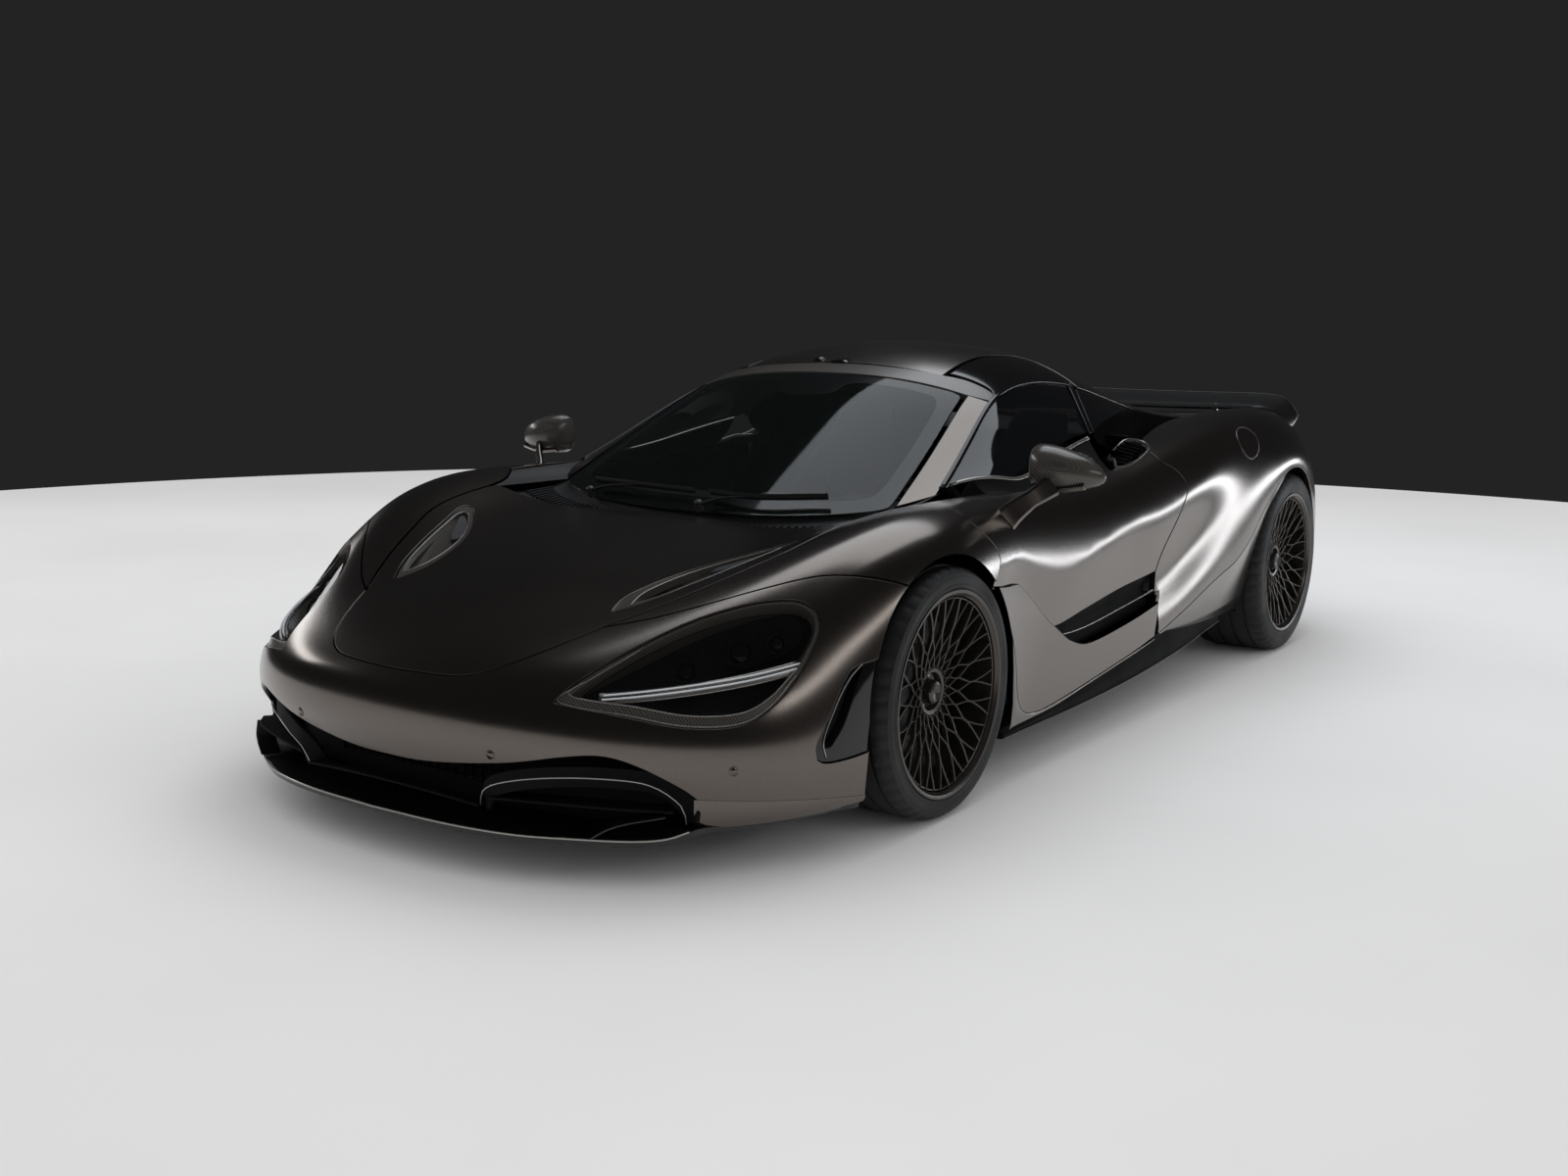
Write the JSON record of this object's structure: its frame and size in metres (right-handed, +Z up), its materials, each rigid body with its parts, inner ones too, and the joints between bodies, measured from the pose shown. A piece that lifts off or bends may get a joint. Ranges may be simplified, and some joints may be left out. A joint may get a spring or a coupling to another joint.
{
  "type": "mid-engined two-seat sports car",
  "caption": "Low mid-engined two-seat coupe with upward-opening doors, front luggage lid, tilting rear wing, steered front wheels and four free-turning wheels.",
  "frame": {"origin": "on the ground, on the centreline, at the middle of the overall length", "axes": "+X to the car's left, -Y forwards (nose), +Z up"},
  "size_m": [2.124, 4.5438, 1.1809],
  "materials": {
    "tyre": "moulded black rubber",
    "wheel_black": "satin black paint",
    "brake_iron": "turned disc",
    "alloy": "cast, as made",
    "engine_alloy": "cast",
    "carbon": "satin lacquer over carbon weave",
    "tinted_glass": "tinted",
    "black_plastic": "grained",
    "lamp_black": "smoked lens over a dark housing",
    "lamp_red": "clear red lens",
    "titanium": "heat-tinted metal",
    "gloss_black": "piano black",
    "seat_cloth": "suede-like cloth",
    "dark_leather": "fine grain",
    "satin_paint": "satin dark warm grey paint"
  },
  "bodies": {
    "chassis": {"monocoque": "carbon", "underfloor": "black_plastic", "front_frame": "alloy", "rear_frame": "alloy", "front_bumper": "satin_paint", "front_splitter": "carbon", "intake_grilles": "black_plastic", "front_wings": "satin_paint", "headlamps": "lamp_black", "cowl": "black_plastic", "windscreen": "tinted_glass", "a_pillars": "satin_paint", "roof_panel": "satin_paint", "quarter_glass": "tinted_glass", "rear_window": "tinted_glass", "engine_cover": "carbon", "buttresses": "satin_paint", "rear_quarters": "satin_paint", "rear_deck": "black_plastic", "rear_bumper": "satin_paint", "diffuser": "carbon", "side_skirts": "carbon", "engine_block": "engine_alloy", "dashboard": "dark_leather", "seats": "seat_cloth", "steering_column": "black_plastic", "front_wishbones": "alloy", "rear_suspension": "alloy", "intake_ducts": "black_plastic", "tailpipes": "titanium", "tail_lamps": "lamp_red", "jack_pads": "black_plastic"},
    "bonnet": {"bonnet": "satin_paint"},
    "rear_wing": {"rear_wing": "carbon"},
    "steering_wheel": {"steering_wheel": "dark_leather"},
    "door_left": {"door_left": "satin_paint", "door_glass_left": "tinted_glass", "door_frame_left": "gloss_black", "mirror_left": "satin_paint"},
    "knuckle_left": {"knuckle_front_left": "alloy"},
    "wheel_front_left": {"tyre_front_left": "tyre", "rim_front_left": "wheel_black", "brake_disc_front_left": "brake_iron"},
    "wheel_rear_left": {"tyre_rear_left": "tyre", "rim_rear_left": "wheel_black", "brake_disc_rear_left": "brake_iron"},
    "door_right": {"door_right": "satin_paint", "door_glass_right": "tinted_glass", "door_frame_right": "gloss_black", "mirror_right": "satin_paint"},
    "knuckle_right": {"knuckle_front_right": "alloy"},
    "wheel_front_right": {"tyre_front_right": "tyre", "rim_front_right": "wheel_black", "brake_disc_front_right": "brake_iron"},
    "wheel_rear_right": {"tyre_rear_right": "tyre", "rim_rear_right": "wheel_black", "brake_disc_rear_right": "brake_iron"}
  },
  "joints": [
    {"name": "steer_left", "type": "hinge", "parent": "chassis", "child": "knuckle_left", "pos_m": [0.791, -1.22, 0.325], "axis": [0, 0, 1], "range_deg": [-28, 28]},
    {"name": "steer_right", "type": "hinge", "parent": "chassis", "child": "knuckle_right", "pos_m": [-0.791, -1.22, 0.325], "axis": [0, 0, 1], "range_deg": [-28, 28]},
    {"name": "steering_wheel_turn", "type": "hinge", "parent": "chassis", "child": "steering_wheel", "pos_m": [0.36, -0.36, 0.64], "axis": [0, 0.9207, 0.3903], "range_deg": [-336, 336]},
    {"name": "wheel_front_left_spin", "type": "hinge", "parent": "knuckle_left", "child": "wheel_front_left", "pos_m": [0.837, -1.22, 0.325], "axis": [1, 0, 0], "continuous": true},
    {"name": "wheel_rear_left_spin", "type": "hinge", "parent": "chassis", "child": "wheel_rear_left", "pos_m": [0.815, 1.45, 0.344], "axis": [1, 0, 0], "continuous": true},
    {"name": "door_left_hinge", "type": "hinge", "parent": "chassis", "child": "door_left", "pos_m": [0.815, -1.05, 0.775], "axis": [0.3967, -0.847, -0.3538], "range_deg": [0, 70]},
    {"name": "wheel_front_right_spin", "type": "hinge", "parent": "knuckle_right", "child": "wheel_front_right", "pos_m": [-0.837, -1.22, 0.325], "axis": [1, 0, 0], "continuous": true},
    {"name": "wheel_rear_right_spin", "type": "hinge", "parent": "chassis", "child": "wheel_rear_right", "pos_m": [-0.815, 1.45, 0.344], "axis": [1, 0, 0], "continuous": true},
    {"name": "door_right_hinge", "type": "hinge", "parent": "chassis", "child": "door_right", "pos_m": [-0.815, -1.05, 0.775], "axis": [0.3967, 0.847, 0.3538], "range_deg": [0, 70]},
    {"name": "bonnet_hinge", "type": "hinge", "parent": "chassis", "child": "bonnet", "pos_m": [0, -1.184, 0.726], "axis": [-1, 0, 0], "range_deg": [0, 55]},
    {"name": "rear_wing_tilt", "type": "hinge", "parent": "chassis", "child": "rear_wing", "pos_m": [0, 2.032, 0.893], "axis": [1, 0, 0], "range_deg": [0, 45]}
  ],
  "couplings": [
    {"joint": "steer_right", "follows": "steer_left", "ratio": 1},
    {"joint": "steering_wheel_turn", "follows": "steer_left", "ratio": 12}
  ]
}
